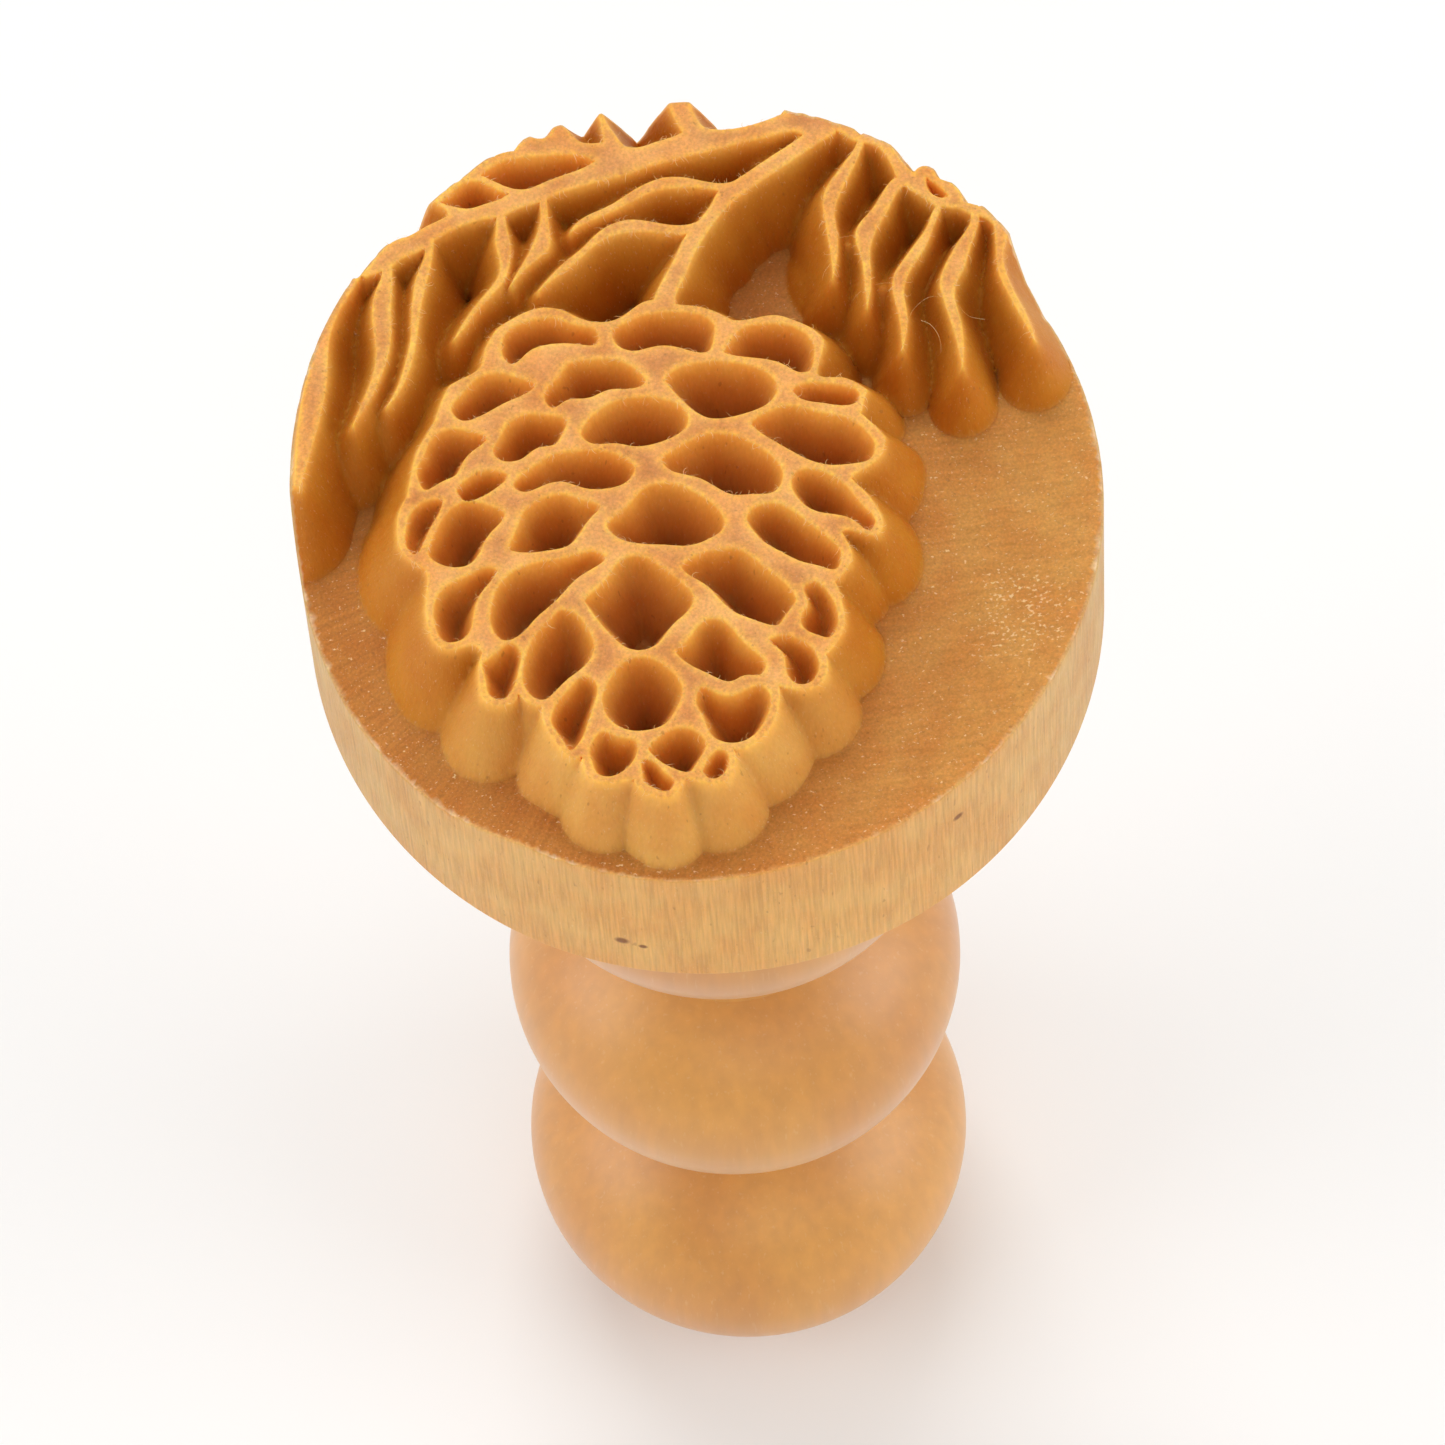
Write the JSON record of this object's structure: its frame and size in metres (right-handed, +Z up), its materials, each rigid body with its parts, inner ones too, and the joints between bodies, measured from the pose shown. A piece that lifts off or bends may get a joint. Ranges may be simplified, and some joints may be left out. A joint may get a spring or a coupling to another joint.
{
  "type": "butter stamp",
  "caption": "Turned wooden hand stamp for butter: a round head with a pine cone and branch carved in relief, on a handle of turned balls.",
  "frame": {"origin": "centre of the flat foot on the end of the handle", "axes": "+Z up along the turning axis to the carved face; +Y to the side of the face with the branch; +X along the branch"},
  "size_m": [0.032, 0.032, 0.0786],
  "materials": {
    "carved_wood": "oiled, end grain on the face",
    "lacquered_wood": "clear satin lacquer",
    "dowel_wood": "raw"
  },
  "bodies": {
    "root": {"stamp_head": "carved_wood", "handle": "lacquered_wood", "dowel_pin": "dowel_wood"}
  },
  "joints": []
}
